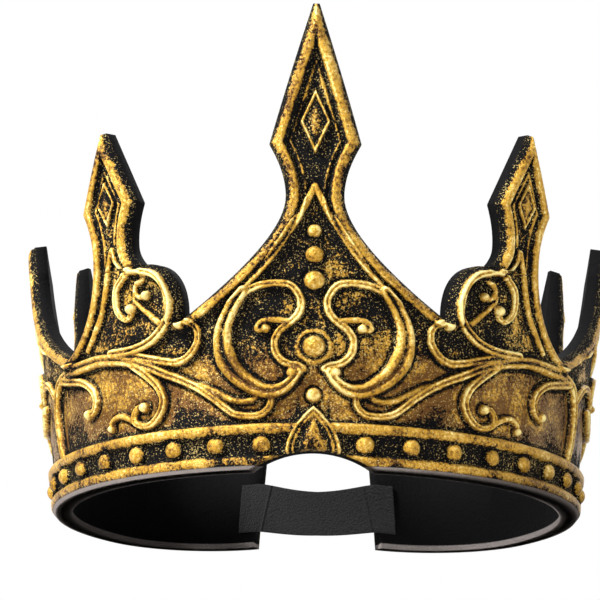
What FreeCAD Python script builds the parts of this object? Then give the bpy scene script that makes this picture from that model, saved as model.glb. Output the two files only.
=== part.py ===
import FreeCAD, Part
import Sketcher
import math
import os

# A moulded foam king's crown: one piece of soft foam with its relief moulded in, bent into an
# open ring, and a webbing strap that bridges the gap at the back.
# Frame: +Z up, X to the wearer's left, the front spike towards -Y; the bottom edge lies in Z = 0
# and the origin is the centre of the front arc. Lengths are in millimetres, angles in degrees.

SIZES = [
    ("front_radius", 97.0, "outer radius of the front arc at the bottom edge"),
    ("front_turn", 123.5, "angle from the front to the end of the front arc"),
    ("back_radius", 43.3, "outer radius of the arc behind each ear of the wearer"),
    ("back_turn", 88.5, "angle of that arc, as far as the end of the foam"),
    ("flare", 8.0, "outward lean of the wall"),
    ("foam_thickness", 7.4, "wall, from the inside to the top of the border"),
    ("field_depth", 2.2, "depth of the sunk field inside the border"),
    ("bevel_depth", 3.0, "how far down the edge the border's bevel reaches"),
    ("bevel_width", 2.6, "how far in from the edge the bevel reaches"),
    ("border_width", 3.6, "from the edge to the inner lip of the border"),
    ("border_slope", 1.4, "width of the slope from the lip down to the field"),
    ("rim_bottom", 1.2, "where the lower rim starts, up the wall"),
    ("rim_top", 3.8, "top of the lower rim"),
    ("channel_bottom", 4.6, "lower side of the channel that the beads stand in"),
    ("channel_top", 10.9, "upper side of that channel"),
    ("channel_depth", 1.8, "depth of the channel"),
    ("band_bottom", 11.8, "lower side of the upper rim"),
    ("band_top", 14.6, "top of the upper rim, where the field starts"),
    ("bead_radius", 3.35, "radius of a bead"),
    ("bead_rise", 1.0, "how far a bead stands above the rims"),
    ("bead_first", 17.1, "first bead, from the centre line along the wall"),
    ("bead_pitch", 15.65, "spacing of the beads along the wall"),
    ("bead_count", 17, "beads on each side"),
    ("arch_height", 6.1, "rise of the arch under the front"),
    ("arch_radius", 41.0, "radius of that arch"),
    ("tip_half", 0.9, "half width of a blunt spike tip"),
    ("front_height", 156.4, "front spike, up the wall"),
    ("front_blade", 48.3, "its tip down to its shoulder"),
    ("front_shoulder", 13.8, "half width at its shoulder"),
    ("front_neck_drop", 17.6, "its shoulder down to its neck"),
    ("front_neck", 8.9, "half width at its neck"),
    ("notch_place", 43.6, "notch between the front spike and the round lobe"),
    ("notch_height", 51.6, "height of that notch"),
    ("lobe_place", 56.2, "centre of the round lobe along the wall"),
    ("lobe_height", 59.3, "height of its centre"),
    ("lobe_radius", 12.9, "radius of the lobe"),
    ("side_place", 70.8, "side spike along the wall"),
    ("side_height", 121.5, "side spike"),
    ("side_blade", 26.9, "its tip down to its shoulder"),
    ("side_shoulder", 11.9, "half width at its shoulder"),
    ("side_neck_drop", 14.6, "its shoulder down to its neck"),
    ("side_neck", 8.4, "half width at its neck"),
    ("valley_place", 97.4, "valley behind the side spike"),
    ("valley_height", 48.1, "height of that valley"),
    ("rear_place", 150.0, "rear spike, above the wearer's ear"),
    ("rear_height", 105.0, "rear spike"),
    ("rear_blade", 13.0, "its tip down to its neck"),
    ("rear_neck", 7.5, "half width at its neck"),
    ("dip_place", 178.0, "valley behind the rear spike"),
    ("dip_height", 53.0, "height of that valley"),
    ("last_place", 198.0, "last spike"),
    ("last_height", 112.0, "last spike"),
    ("last_blade", 22.0, "its tip down to its neck"),
    ("last_neck", 5.5, "half width at its neck"),
    ("end_height", 45.0, "height of the foam at its ends"),
    ("end_corner", 9.0, "radius of the corner at each end"),
    ("strap_width", 20.0, "webbing strap"),
    ("strap_thickness", 1.4, "webbing strap"),
    ("strap_lap", 7.5, "how far the strap laps each foam end"),
    ("strap_lift", 5.0, "lower edge of the strap, up the wall from the bottom of the foam"),
    ("strap_waist", 17.6, "width of the stretched strap at its middle"),
    ("strap_sag", 3.0, "how far the strap hangs down at its middle"),
    ("strap_bow", 4.5, "how far the strap bows towards the head at its middle"),
]

doc = FreeCAD.newDocument("FoamCrown")
sheet = doc.addObject("Spreadsheet::Sheet", "Sizes")
for row, (alias, value, meaning) in enumerate(SIZES, start=1):
    sheet.set("A%d" % row, alias)
    sheet.set("B%d" % row, str(value))
    sheet.set("C%d" % row, meaning)
    sheet.setAlias("B%d" % row, alias)
doc.recompute()


def size(alias):
    """A driving size, read from the sheet."""
    return float(sheet.get(alias))


FLARE = math.radians(size("flare"))
FRONT_RADIUS = size("front_radius")
BACK_RADIUS = size("back_radius")
FRONT_TURN = math.radians(size("front_turn"))
FRONT_LENGTH = FRONT_RADIUS * FRONT_TURN
BACK_CENTRE = FreeCAD.Vector((FRONT_RADIUS - BACK_RADIUS) * math.sin(FRONT_TURN),
                             -(FRONT_RADIUS - BACK_RADIUS) * math.cos(FRONT_TURN), 0)
WALL_LENGTH = FRONT_LENGTH + BACK_RADIUS * math.radians(size("back_turn"))
OVERRUN = 4.0


def on_wall(along, up, out=0.0):
    """A point of the bent wall: along its length from the centre line, up its slope, and out
    from the face of the border. The length is measured on the outside of the bottom edge."""
    if along <= FRONT_LENGTH:
        centre, radius, turn = FreeCAD.Vector(0, 0, 0), FRONT_RADIUS, along / FRONT_RADIUS
    else:
        centre, radius = BACK_CENTRE, BACK_RADIUS
        turn = FRONT_TURN + (along - FRONT_LENGTH) / BACK_RADIUS
    reach = radius + up * math.sin(FLARE) + out * math.cos(FLARE)
    level = up * math.cos(FLARE) - out * math.sin(FLARE)
    return centre + FreeCAD.Vector(math.sin(turn) * reach, -math.cos(turn) * reach, level)


# The outline is drawn flat, as (along, up) points, and then bent with the wall. A stretch of it
# is a Bezier curve: two points make a straight line, three or four make a curve.

def stretch_points(stretch, count):
    """Points and unit tangents along one flat stretch."""
    curve = Part.BezierCurve()
    curve.setPoles([FreeCAD.Vector(along, up, 0) for along, up in stretch])
    points = []
    for step in range(count + 1):
        place = step / count
        tangent = curve.tangent(place)[0]
        points.append((curve.value(place), tangent.normalize()))
    return points


STRAIGHT_STEPS = 2
CURVE_STEPS = 5


def inset_path(path, inset):
    """The flat path moved to its right by the inset, corners mitred, as lists of points."""
    runs = [stretch_points(stretch, STRAIGHT_STEPS if len(stretch) == 2 else CURVE_STEPS)
            for stretch in path]
    rows = []
    for number, run in enumerate(runs):
        row = []
        for index, (point, tangent) in enumerate(run):
            shift = FreeCAD.Vector(tangent.y, -tangent.x, 0)
            other = None
            if index == 0 and number > 0:
                other = runs[number - 1][-1][1]
            if index == len(run) - 1 and number < len(runs) - 1:
                other = runs[number + 1][0][1]
            if other is not None:
                shift = shift + FreeCAD.Vector(other.y, -other.x, 0)
                shift = shift * (2 / shift.Length ** 2)
            row.append(point + shift * inset)
        rows.append(row)
    return rows


def wall_edge(row, out):
    """A smooth edge through flat points, carried onto the bent wall at one level."""
    curve = Part.BSplineCurve()
    curve.interpolate([on_wall(point.x, point.y, out) for point in row])
    return curve.toShape()


def ribbon(path, levels):
    """A surface that stands on the wall along a flat path. Each level is (inset, out)."""
    rows = [inset_path(path, inset) for inset, out in levels]
    faces = []
    for number in range(len(path)):
        edges = [wall_edge(row[number], out) for row, (inset, out) in zip(rows, levels)]
        faces += [Part.makeRuledSurface(low, high) for low, high in zip(edges, edges[1:])]
    sewn = Part.makeCompound(faces)
    sewn.sewShape()
    return sewn


def flank(neck, foot, hold, lead, lift):
    """The curve from a spike's neck down to a valley. It leaves the neck straight down for a
    share of the drop, and reaches the valley from a share of the run away."""
    run = foot[0] - neck[0]
    drop = neck[1] - foot[1]
    return [neck, (neck[0], neck[1] - hold * drop),
            (foot[0] - lead * run, foot[1] + lift * drop), foot]


def spike_side(name, place, side, shouldered):
    """One side of a spike, 1 or -1 along the wall, from its tip down to its neck. The straight
    edge of the blade is drawn on past the tip, to above the blank."""
    tip = size(name + "_height")
    widest_up = tip - size(name + "_blade")
    widest = size(name + ("_shoulder" if shouldered else "_neck"))
    rise = size("front_height") + 2 * OVERRUN - tip
    lean = (widest - size("tip_half")) / size(name + "_blade")
    sky = (place + side * (size("tip_half") - lean * rise), tip + rise)
    foot = (place + side * widest, widest_up)
    if not shouldered:
        return [[sky, foot]], foot
    neck = (place + side * size(name + "_neck"), widest_up - size(name + "_neck_drop"))
    waist = (neck[0], neck[1] + 0.45 * size(name + "_neck_drop"))
    return [[sky, foot], [foot, waist, neck]], neck


def reversed_path(path):
    """The same flat path, run the other way."""
    return [list(reversed(stretch)) for stretch in reversed(path)]


# The four gaps of the outline on one side, each from a spike's tip down and up to the next.
SIDE = size("side_place")
REAR = size("rear_place")
LAST = size("last_place")
notch = (size("notch_place"), size("notch_height"))
valley = (size("valley_place"), size("valley_height"))
dip = (size("dip_place"), size("dip_height"))

front_side, front_neck = spike_side("front", 0.0, 1, True)
side_fore, side_fore_neck = spike_side("side", SIDE, -1, True)
side_aft, side_aft_neck = spike_side("side", SIDE, 1, True)
rear_fore, rear_fore_neck = spike_side("rear", REAR, -1, False)
rear_aft, rear_aft_neck = spike_side("rear", REAR, 1, False)
last_fore, last_fore_neck = spike_side("last", LAST, -1, False)
last_aft, last_aft_neck = spike_side("last", LAST, 1, False)

lobe = (size("lobe_place"), size("lobe_height"))
lobe_size = size("lobe_radius")
lobe_top = (lobe[0] + 0.18 * lobe_size, lobe[1] + lobe_size)
lobe_edge = [notch, (lobe[0] - 1.08 * lobe_size, lobe[1] + 0.36 * lobe_size),
             (lobe[0] - 0.67 * lobe_size, lobe[1] + 1.03 * lobe_size), lobe_top]
lobe_to_neck = [lobe_top, (side_fore_neck[0], 0.5 * (lobe_top[1] + side_fore_neck[1])),
                side_fore_neck]

GAPS = [
    front_side + [flank(front_neck, notch, 0.35, 0.40, 0.20), lobe_edge, lobe_to_neck]
    + reversed_path(side_fore),
    side_aft + [flank(side_aft_neck, valley, 0.60, 0.50, 0.09)]
    + reversed_path(rear_fore + [flank(rear_fore_neck, valley, 0.32, 0.41, 0.13)]),
    rear_aft + [flank(rear_aft_neck, dip, 0.35, 0.40, 0.15)]
    + reversed_path(last_fore + [flank(last_fore_neck, dip, 0.50, 0.35, 0.10)]),
]
end_top = (WALL_LENGTH - size("end_corner"), size("end_height"))
end_side = (WALL_LENGTH, size("end_height") - size("end_corner"))
end_corner = [end_top, (WALL_LENGTH, size("end_height")), end_side]
GAPS.append(last_aft + [flank(last_aft_neck, end_top, 0.45, 0.50, 0.02), end_corner,
                        [end_side, (WALL_LENGTH, -2 * OVERRUN)]])


LEAN = "(Sizes.flare * 1 deg)"
UPRIGHT = FreeCAD.Rotation(FreeCAD.Vector(0, -1, 0), FreeCAD.Vector(0, 0, 1),
                           FreeCAD.Vector(-1, 0, 0), "XYZ")


def ring_section(name, corners, radius):
    """A sketch of the wall's section on the front plane. Corners are (out, up) expressions in
    the wall's own directions, and each one is bound to the sheet."""
    sketch = doc.addObject("Sketcher::SketchObject", name)
    sketch.Placement = FreeCAD.Placement(FreeCAD.Vector(0, 0, 0), UPRIGHT)
    count = len(corners)
    for number in range(count):
        turn = 2 * math.pi * number / count
        following = 2 * math.pi * (number + 1) / count
        sketch.addGeometry(Part.LineSegment(
            FreeCAD.Vector(90 + 9 * math.cos(turn), 40 + 40 * math.sin(turn), 0),
            FreeCAD.Vector(90 + 9 * math.cos(following), 40 + 40 * math.sin(following), 0)))
    for number in range(count):
        sketch.addConstraint(Sketcher.Constraint("Coincident", number, 2,
                                                 (number + 1) % count, 1))
    for number, (out, up) in enumerate(corners):
        across = "%s + (%s) * sin(%s) + (%s) * cos(%s)" % (radius, up, LEAN, out, LEAN)
        above = "(%s) * cos(%s) - (%s) * sin(%s)" % (up, LEAN, out, LEAN)
        for kind, expression in (("DistanceX", across), ("DistanceY", above)):
            index = sketch.addConstraint(Sketcher.Constraint(kind, -1, 1, number, 1, 10.0))
            sketch.setExpression("Constraints[%d]" % index, expression)
    return sketch


def wall_ring(name, corners):
    """The section revolved along the whole half wall: the front arc, then the back arc."""
    arcs = []
    for arc, radius, turn in (("front", "Sizes.front_radius", "Sizes.front_turn"),
                              ("back", "Sizes.back_radius", "Sizes.back_turn + 3")):
        ring = doc.addObject("Part::Revolution", "%s_%s_arc" % (name, arc))
        ring.Source = ring_section("%s_%s_section" % (name, arc), corners, radius)
        ring.Axis = FreeCAD.Vector(0, 0, 1)
        ring.Solid = True
        ring.setExpression("Angle", turn)
        arcs.append(ring)
    offset = "(Sizes.front_radius - Sizes.back_radius)"
    arcs[1].setExpression(".Placement.Base.x", offset + " * sin(Sizes.front_turn * 1 deg)")
    arcs[1].setExpression(".Placement.Base.y", "-" + offset + " * cos(Sizes.front_turn * 1 deg)")
    arcs[1].setExpression(".Placement.Rotation.Angle", "Sizes.front_turn")
    whole = doc.addObject("Part::MultiFuse", name)
    whole.Shapes = arcs
    whole.Refine = True
    return whole


# The blank: the full wall with its rims and the bead channel, and the ring of foam that the
# field is sunk into.
TOP = "Sizes.front_height + 3"
blank = wall_ring("blank", [
    ("-Sizes.foam_thickness", "-Sizes.foam_thickness * tan(%s)" % LEAN),
    ("-Sizes.rim_bottom", "-Sizes.rim_bottom * tan(%s)" % LEAN),
    ("0", "Sizes.rim_bottom"),
    ("0", "Sizes.rim_top"),
    ("-Sizes.channel_depth", "Sizes.channel_bottom"),
    ("-Sizes.channel_depth", "Sizes.channel_top"),
    ("0", "Sizes.band_bottom"),
    ("0", TOP),
    ("-Sizes.foam_thickness", TOP),
])
field_ring = wall_ring("field_ring", [
    ("-Sizes.field_depth", "Sizes.band_top + Sizes.border_slope"),
    ("1", "Sizes.band_top"),
    ("1", TOP),
    ("-Sizes.field_depth", TOP),
])
doc.recompute()


def below(solid, ribbons):
    """What is left of a solid below the ribbons that cut it."""
    for sheet_cut in ribbons:
        pieces, history = solid.generalFuse(sheet_cut.Faces)
        solid = max(pieces.Solids, key=lambda piece: piece.Volume)
    return solid


def feature(name, shape):
    """A shape worked out above, as an object of the document."""
    made = doc.addObject("Part::Feature", name)
    made.Shape = shape
    return made


# The outline, with its bevelled edge, and the sunk field inside the border.
bevel = [(0.0, -size("foam_thickness") - 2), (0.0, -size("bevel_depth")),
         (size("bevel_width") * 4 / 3, size("bevel_depth") / 3)]
outlined = feature("outlined_wall", below(blank.Shape, [ribbon(path, bevel) for path in GAPS]))
lip = size("border_width")
fall = size("border_slope") / size("field_depth")
inner = [(lip + fall * (size("field_depth") + 1), -size("field_depth") - 1),
         (lip - 2 * fall, 2.0)]
field = feature("field", below(field_ring.Shape, [ribbon(path, inner) for path in GAPS]))
sunk = doc.addObject("Part::Cut", "sunk_wall")
sunk.Base = outlined
sunk.Tool = field


def wall_turn(along):
    """Rotation of a thing that stands on the wall: X along it, Y up its slope, Z out of it."""
    origin = on_wall(along, 0)
    up = on_wall(along, 1) - origin
    out = on_wall(along, 0, 1) - origin
    return FreeCAD.Rotation(up.cross(out), up, out, "ZYX")


# Each spike ends in a small flat, square to the wall's slope.
caps = []
for name, place in (("front", 0.0), ("side", SIDE), ("rear", REAR), ("last", LAST)):
    cap = doc.addObject("Part::Box", name + "_tip_cap")
    cap.setExpression("Length", "Sizes.%s_neck * 2" % name)
    cap.setExpression("Width", "Sizes.front_height")
    cap.setExpression("Height", "Sizes.foam_thickness * 2")
    turn = wall_turn(place)
    corner = FreeCAD.Vector(-size(name + "_neck"), 0, -1.5 * size("foam_thickness"))
    cap.Placement = FreeCAD.Placement(
        on_wall(place, size(name + "_height")) + turn.multVec(corner), turn)
    caps.append(cap)
all_caps = doc.addObject("Part::MultiFuse", "tip_caps")
all_caps.Shapes = caps
blunt = doc.addObject("Part::Cut", "blunt_wall")
blunt.Base = sunk
blunt.Tool = all_caps

BEAD_SIDES = 10
BEAD_RINGS = ((1.0, -0.6), (1.0, 0.16), (0.80, 0.60), (0.42, 0.91))


def faceted_bead(along, up, out, radius):
    """A bead cut in flats, its centre on the wall at a place. A ring is (radius, height), both
    as shares of the bead's radius."""
    turn = wall_turn(along)
    centre = on_wall(along, up, out)
    rings = []
    for wide, high in BEAD_RINGS:
        ring = []
        for side in range(BEAD_SIDES):
            angle = 2 * math.pi * side / BEAD_SIDES
            ring.append(centre + turn.multVec(FreeCAD.Vector(
                radius * wide * math.cos(angle), radius * wide * math.sin(angle), radius * high)))
        rings.append(ring)
    faces = [Part.Face(Part.makePolygon(ring + ring[:1])) for ring in (rings[0], rings[-1])]
    for low, high in zip(rings, rings[1:]):
        for side in range(BEAD_SIDES):
            other = (side + 1) % BEAD_SIDES
            faces.append(Part.Face(Part.makePolygon(
                [low[side], low[other], high[other], high[side], low[side]])))
    solid = Part.Solid(Part.Shell(faces))
    if solid.Volume < 0:
        solid.reverse()
    return solid


# Beads stand in the channel between the rims, evenly spaced along the wall.
beads = []
middle = 0.5 * (size("channel_bottom") + size("channel_top"))
for number in range(int(size("bead_count"))):
    place = size("bead_first") + number * size("bead_pitch")
    beads.append(feature("bead_%d" % (number + 1), faceted_bead(
        place, middle, size("bead_rise") - size("bead_radius"), size("bead_radius"))))

doc.recompute()
beaded = blunt.Shape
for bead in beads:
    beaded = beaded.fuse(bead.Shape)
half = feature("half_crown", beaded)
other_half = doc.addObject("Part::Mirroring", "other_half_crown")
other_half.Source = half
other_half.Normal = FreeCAD.Vector(1, 0, 0)
whole = doc.addObject("Part::MultiFuse", "whole_crown")
whole.Shapes = [half, other_half]
whole.Refine = True

# The arch under the front.
arch = doc.addObject("Part::Cylinder", "front_arch")
arch.setExpression("Radius", "Sizes.arch_radius")
arch.setExpression("Height", "Sizes.front_radius / 2")
arch.Placement.Rotation = FreeCAD.Rotation(FreeCAD.Vector(1, 0, 0), -90)
arch.setExpression(".Placement.Base.y", "-Sizes.front_radius * 1.25")
arch.setExpression(".Placement.Base.z", "Sizes.arch_height - Sizes.arch_radius")
crown = doc.addObject("Part::Cut", "foam_crown")
crown.Base = whole
crown.Tool = arch

# The strap: each end lies on the inside of the foam, and between them it is drawn across the
# gap, narrower and lower at its middle. Half of it is a lap, revolved with the wall, and a loft
# through cross-sections along a curve in space.


def strap_section(centre, across, up, width):
    """One cross-section of the strap, a rectangle about its centre."""
    side = up * (0.5 * width)
    face = across * (0.5 * size("strap_thickness"))
    corners = [centre - side - face, centre + side - face, centre + side + face,
               centre - side + face]
    return Part.makePolygon(corners + corners[:1])


lap_up = size("strap_lift") + 0.5 * size("strap_width")
lap_out = -size("foam_thickness") - 0.5 * size("strap_thickness")
leave = on_wall(WALL_LENGTH, lap_up, lap_out)
foam_up = on_wall(WALL_LENGTH, lap_up + 1, lap_out) - leave
foam_out = on_wall(WALL_LENGTH, lap_up, lap_out + 1) - leave
run_out = foam_up.cross(foam_out)
inside_radius = BACK_RADIUS - size("foam_thickness")
lap_turn = math.degrees(size("strap_lap") / inside_radius)
lap = Part.Face(strap_section(leave, foam_out, foam_up, size("strap_width"))).revolve(
    BACK_CENTRE, FreeCAD.Vector(0, 0, 1), -lap_turn)

middle_of_strap = FreeCAD.Vector(0, leave.y - size("strap_bow"), leave.z - size("strap_sag"))
course = Part.BezierCurve()
course.setPoles([leave, leave + run_out * size("strap_bow"),
                 middle_of_strap + FreeCAD.Vector(0.5 * leave.x, 0, 0), middle_of_strap])
sections = []
STRAP_STEPS = 6
for step in range(STRAP_STEPS + 1):
    share = step / STRAP_STEPS
    run = course.tangent(share)[0].normalize()
    up = (foam_up * (1 - share) + FreeCAD.Vector(0, 0, share)).normalize()
    across = run.cross(up).normalize()
    width = size("strap_width") + share * (size("strap_waist") - size("strap_width"))
    sections.append(strap_section(course.value(share), across, run.cross(across) * -1, width))
half_strap = feature("half_strap", lap.fuse(Part.makeLoft(sections, True, True)))
other_strap = doc.addObject("Part::Mirroring", "other_half_strap")
other_strap.Source = half_strap
other_strap.Normal = FreeCAD.Vector(1, 0, 0)
strap = doc.addObject("Part::MultiFuse", "elastic_strap")
strap.Shapes = [half_strap, other_strap]
strap.Refine = True

PIECES = [crown, strap]
doc.recompute()
for thing in doc.Objects:
    if "Invalid" in thing.State or "Error" in thing.State:
        raise RuntimeError("failed: %s" % thing.Name)
os.makedirs("parts", exist_ok=True)
for piece in PIECES:
    if piece.Shape.isNull() or not piece.Shape.isValid() or len(piece.Shape.Solids) != 1:
        raise RuntimeError("not one good solid: %s" % piece.Label)
for piece in PIECES:
    piece.Shape.exportStep("parts/%s.step" % piece.Label)
    print(piece.Label, round(piece.Shape.Volume), "mm3", len(piece.Shape.Faces), "faces")
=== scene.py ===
import math

import bpy
import numpy as np
from mathutils import Matrix, Vector


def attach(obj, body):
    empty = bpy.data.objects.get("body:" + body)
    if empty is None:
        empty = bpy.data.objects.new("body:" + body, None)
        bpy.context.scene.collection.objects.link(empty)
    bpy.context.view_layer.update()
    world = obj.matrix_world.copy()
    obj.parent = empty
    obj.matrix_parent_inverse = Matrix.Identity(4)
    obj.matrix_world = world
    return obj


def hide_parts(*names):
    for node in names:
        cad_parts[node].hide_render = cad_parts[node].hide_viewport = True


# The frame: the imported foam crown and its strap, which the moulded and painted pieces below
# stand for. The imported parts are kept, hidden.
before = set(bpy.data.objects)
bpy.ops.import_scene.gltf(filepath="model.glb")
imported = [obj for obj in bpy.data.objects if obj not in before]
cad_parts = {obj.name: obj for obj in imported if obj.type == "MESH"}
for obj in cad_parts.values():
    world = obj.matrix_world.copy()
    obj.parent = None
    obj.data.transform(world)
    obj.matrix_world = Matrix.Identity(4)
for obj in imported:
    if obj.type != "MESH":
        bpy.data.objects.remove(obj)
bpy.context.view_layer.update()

# The wall of the crown: moulded foam, cast flat and bent into an open ring, so everything on it
# is placed by two measures in millimetres: along the wall from the centre line, and up its slope.
# The third measure, out, is the height of the relief, with 0 at the crest of the border.
MM = 0.001
FLARE = math.radians(8.0)
FRONT_RADIUS = 97.0
BACK_RADIUS = 43.3
FRONT_TURN = math.radians(123.5)
BACK_TURN = math.radians(88.5)
FRONT_LENGTH = FRONT_RADIUS * FRONT_TURN
WALL_LENGTH = FRONT_LENGTH + BACK_RADIUS * BACK_TURN
BACK_CENTRE = np.array([(FRONT_RADIUS - BACK_RADIUS) * math.sin(FRONT_TURN),
                        -(FRONT_RADIUS - BACK_RADIUS) * math.cos(FRONT_TURN)])
FOAM_THICKNESS = 7.4


def on_wall(along, up, out):
    """Places of the bent wall in metres. The turn about the front arc's centre, or past its end
    about the back arc's, is the length along over that arc's radius. Up the slope and out of the
    face are turned by the flare into radius and level. The left half mirrors the right."""
    side = np.sign(along)
    length = np.abs(along)
    back = length > FRONT_LENGTH
    turn = np.where(back, FRONT_TURN + (length - FRONT_LENGTH) / BACK_RADIUS,
                    length / FRONT_RADIUS)
    radius = np.where(back, BACK_RADIUS, FRONT_RADIUS)
    radius = radius + up * math.sin(FLARE) + out * math.cos(FLARE)
    level = up * math.cos(FLARE) - out * math.sin(FLARE)
    x = np.where(back, BACK_CENTRE[0], 0.0) + np.sin(turn) * radius
    y = np.where(back, BACK_CENTRE[1], 0.0) - np.cos(turn) * radius
    return np.stack([x * np.where(side < 0, -1, 1), y, level], axis=-1) * MM


def off_wall(places):
    """The inverse of on_wall: along, up and out in millimetres for places in metres."""
    x = np.abs(places[:, 0]) / MM
    y = places[:, 1] / MM
    level = places[:, 2] / MM
    turn = np.arctan2(x, -y)
    to_x, to_y = x - BACK_CENTRE[0], y - BACK_CENTRE[1]
    back_turn = np.arctan2(to_x, -to_y) % (2 * math.pi)
    back = (turn > FRONT_TURN) & (back_turn > FRONT_TURN) & (back_turn < math.radians(240))
    along = np.where(back, FRONT_LENGTH + (back_turn - FRONT_TURN) * BACK_RADIUS,
                     turn * FRONT_RADIUS)
    reach = np.where(back, np.hypot(to_x, to_y) - BACK_RADIUS, np.hypot(x, y) - FRONT_RADIUS)
    up = reach * math.sin(FLARE) + level * math.cos(FLARE)
    out = reach * math.cos(FLARE) - level * math.sin(FLARE)
    return along * np.where(places[:, 0] < 0, -1, 1), up, out


# The outline of the wall, half of it: a tall front spike, a round lobe, a side spike, a broad
# rear spike, a last spike, and the low end of the foam. Each stretch is a Bezier curve.
FRONT_SPIKE = dict(place=0.0, tip=156.4, blade=48.3, wide=13.8, drop=17.6, neck=8.9)
SIDE_SPIKE = dict(place=70.8, tip=121.5, blade=26.9, wide=11.9, drop=14.6, neck=8.4)
REAR_SPIKE = dict(place=150.0, tip=105.0, blade=13.0, wide=7.5, drop=0.0, neck=7.5)
LAST_SPIKE = dict(place=198.0, tip=112.0, blade=22.0, wide=5.5, drop=0.0, neck=5.5)
TIP_HALF = 0.9
NOTCH = (43.6, 51.6)
LOBE = (56.2, 59.3)
LOBE_RADIUS = 12.9
VALLEY = (97.4, 48.1)
DIP = (178.0, 53.0)
END_HEIGHT = 45.0
END_CORNER = 9.0
CURVE_STEPS = 24


def bezier(poles, steps=CURVE_STEPS):
    """Points of a Bezier curve: each pole weighed by its Bernstein polynomial."""
    poles = np.asarray(poles, float)
    share = np.linspace(0, 1, steps + 1)[:, None]
    order = len(poles) - 1
    return sum(math.comb(order, k) * share ** k * (1 - share) ** (order - k) * poles[k]
               for k in range(order + 1))


def spike_side(spike, side):
    """One side of a spike, from its tip down its straight blade and curved waist to its neck."""
    low = spike["tip"] - spike["blade"]
    tip = (spike["place"] + side * TIP_HALF, spike["tip"])
    foot = (spike["place"] + side * spike["wide"], low)
    if not spike["drop"]:
        return [bezier([tip, foot])], foot
    neck = (spike["place"] + side * spike["neck"], low - spike["drop"])
    waist = (neck[0], neck[1] + 0.45 * spike["drop"])
    return [bezier([tip, foot]), bezier([foot, waist, neck])], neck


def flank(neck, foot, hold, lead, lift):
    """The curve from a neck down to a valley, a cubic Bezier. It leaves the neck straight down
    for a share of the drop, and reaches the valley from a share of the run away."""
    run, drop = foot[0] - neck[0], neck[1] - foot[1]
    return bezier([neck, (neck[0], neck[1] - hold * drop),
                   (foot[0] - lead * run, foot[1] + lift * drop), foot])


def joined(stretches):
    """Stretches of an outline put end to end, without their double points."""
    return np.concatenate([stretches[0]] + [stretch[1:] for stretch in stretches[1:]])


front_blade, front_neck = spike_side(FRONT_SPIKE, 1)
side_fore, side_fore_neck = spike_side(SIDE_SPIKE, -1)
side_aft, side_aft_neck = spike_side(SIDE_SPIKE, 1)
rear_fore, rear_fore_neck = spike_side(REAR_SPIKE, -1)
rear_aft, rear_aft_neck = spike_side(REAR_SPIKE, 1)
last_fore, last_fore_neck = spike_side(LAST_SPIKE, -1)
last_aft, last_aft_neck = spike_side(LAST_SPIKE, 1)
lobe_top = (LOBE[0] + 0.18 * LOBE_RADIUS, LOBE[1] + LOBE_RADIUS)
lobe_edge = bezier([NOTCH, (LOBE[0] - 1.08 * LOBE_RADIUS, LOBE[1] + 0.36 * LOBE_RADIUS),
                    (LOBE[0] - 0.67 * LOBE_RADIUS, LOBE[1] + 1.03 * LOBE_RADIUS), lobe_top])
lobe_to_neck = bezier([lobe_top, (side_fore_neck[0], 0.5 * (lobe_top[1] + side_fore_neck[1])),
                       side_fore_neck])
end_top = (WALL_LENGTH - END_CORNER, END_HEIGHT)
end_side = (WALL_LENGTH, END_HEIGHT - END_CORNER)
end_corner = bezier([end_top, (WALL_LENGTH, END_HEIGHT), end_side])
tail_flank = flank(last_aft_neck, end_top, 0.45, 0.50, 0.02)

# The outline as sides of the spikes, each from its valley up to its tip.
front_right = joined(front_blade + [flank(front_neck, NOTCH, 0.35, 0.40, 0.20)])[::-1]
side_left = joined([lobe_edge, lobe_to_neck] + [part[::-1] for part in side_fore[::-1]])
side_right = joined(side_aft + [flank(side_aft_neck, VALLEY, 0.60, 0.50, 0.09)])[::-1]
rear_left = joined(rear_fore + [flank(rear_fore_neck, VALLEY, 0.32, 0.41, 0.13)])[::-1]
rear_right = joined(rear_aft + [flank(rear_aft_neck, DIP, 0.35, 0.40, 0.15)])[::-1]
last_left = joined(last_fore + [flank(last_fore_neck, DIP, 0.50, 0.35, 0.10)])[::-1]
TAIL_SPLIT = CURVE_STEPS // 2
last_right = joined(last_aft + [tail_flank[:TAIL_SPLIT + 1]])[::-1]
tail_top = joined([tail_flank[TAIL_SPLIT:], end_corner])
tail_start = tail_flank[TAIL_SPLIT]

# The relief is worked out on a fine raster of the flat half wall, once for both halves.
CELL = 0.35
RASTER_ALONG = np.arange(-12.0, WALL_LENGTH + 4, CELL)
RASTER_UP = np.arange(-4.0, FRONT_SPIKE["tip"] + 4, CELL)
ALONG, UP = np.meshgrid(RASTER_ALONG, RASTER_UP)
RIB_STEPS = 8


def through(points):
    """A smooth curve through a few points: a Catmull-Rom spline."""
    points = np.asarray(points, float)
    ends = np.vstack([2 * points[0] - points[1], points, 2 * points[-1] - points[-2]])
    share = np.linspace(0, 1, RIB_STEPS, endpoint=False)[:, None]
    pieces = []
    for before, start, stop, after in zip(ends, ends[1:], ends[2:], ends[3:]):
        pieces.append(0.5 * (2 * start + (stop - before) * share
                             + (2 * before - 5 * start + 4 * stop - after) * share ** 2
                             + (3 * start - before - 3 * stop + after) * share ** 3))
    return np.vstack(pieces + [points[-1:]])


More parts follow.
